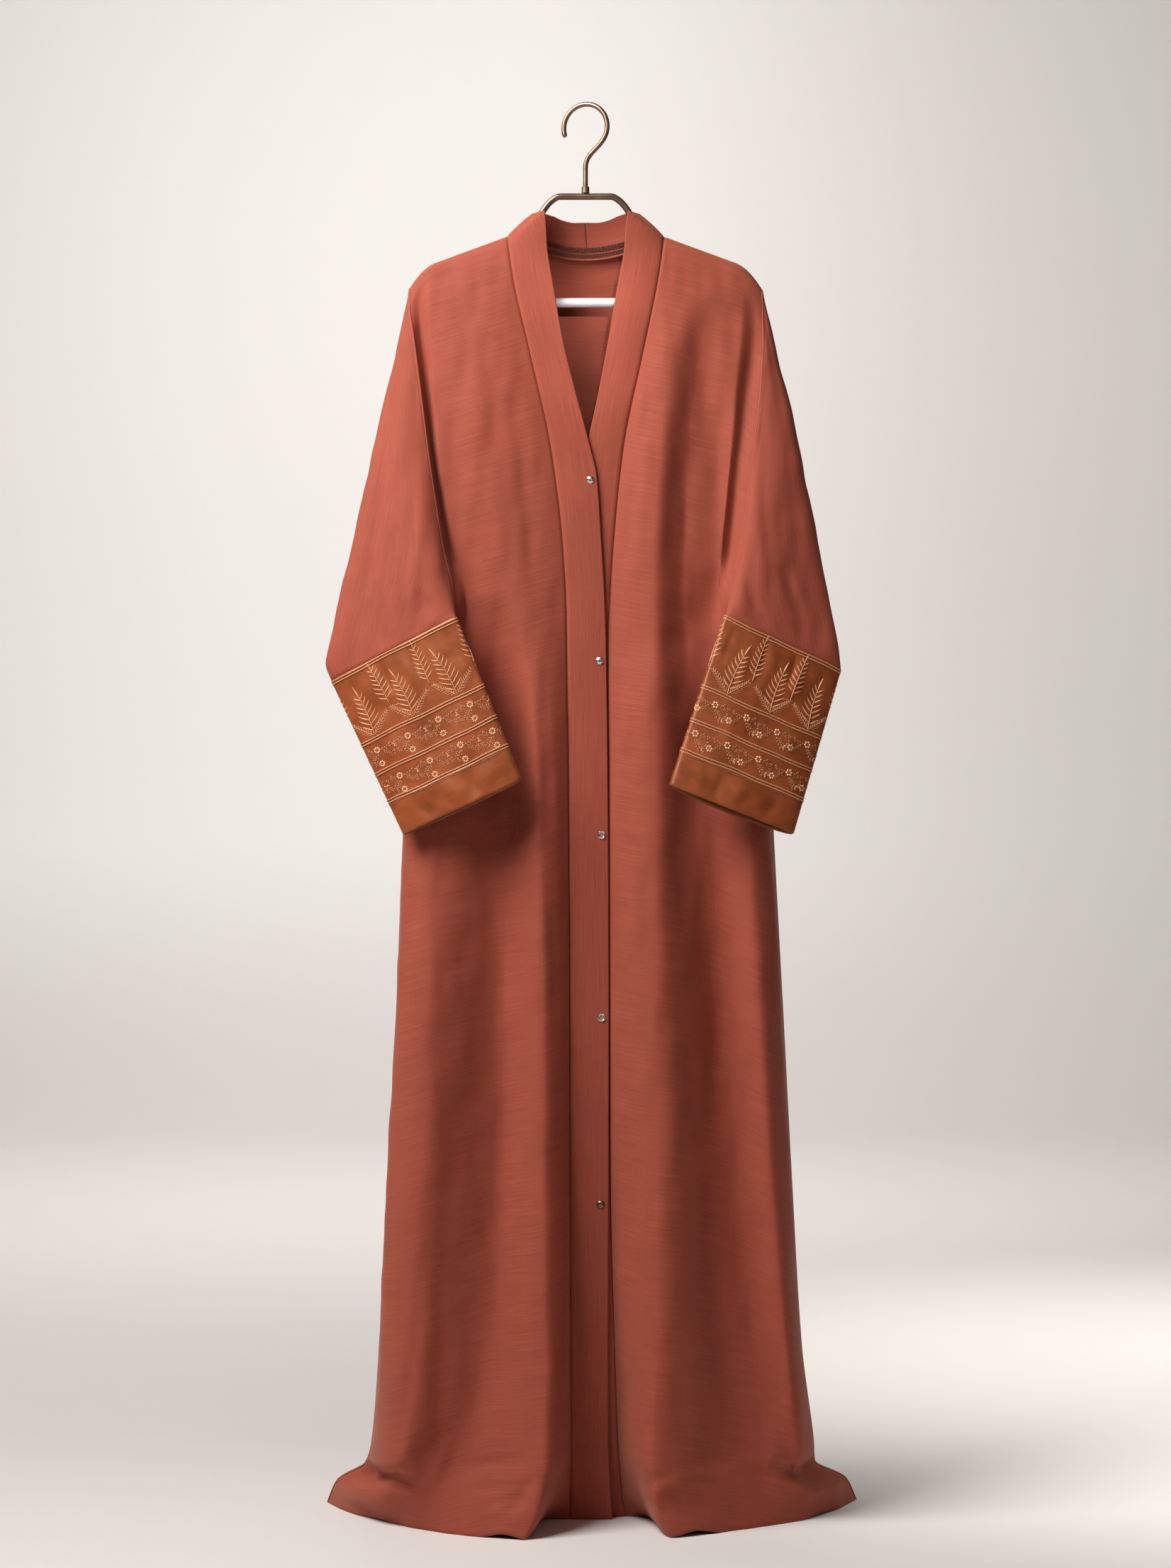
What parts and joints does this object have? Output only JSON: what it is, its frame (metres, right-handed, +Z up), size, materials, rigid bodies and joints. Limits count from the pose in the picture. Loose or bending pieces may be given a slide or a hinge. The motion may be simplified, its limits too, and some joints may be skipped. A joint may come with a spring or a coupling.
{
  "type": "abaya on hanger",
  "caption": "Long open-front abaya with a snap-fastened front band, wide sleeves and embroidered satin cuffs, hung flat on a metal hanger.",
  "frame": {"origin": "seat inside the top of the hanger's hook, where the rail carries it", "axes": "+Z up, the garment's front faces -Y, +X is the wearer's left"},
  "size_m": [0.6602, 0.2673, 1.7214],
  "materials": {
    "cloth": "matt slubbed crepe, rust",
    "satin": "satin, orange-brown, embroidered",
    "bronze": "satin bronze",
    "white_bar": "soft white sleeve",
    "snap_metal": "bright"
  },
  "bodies": {
    "root": {"front_right": "cloth", "front_left": "cloth", "back": "cloth", "sleeve_right": "cloth", "sleeve_left": "cloth", "band_right": "cloth", "band_left": "cloth", "cuff_right": "satin", "cuff_left": "satin", "cuff_hem_right": "satin", "cuff_hem_left": "satin", "hanger_hook": "bronze", "hanger_boss": "bronze", "hanger_frame": "bronze", "hanger_bar": "white_bar", "snap_1": "snap_metal", "snap_2": "snap_metal", "snap_3": "snap_metal", "snap_4": "snap_metal", "snap_5": "snap_metal"}
  },
  "joints": []
}
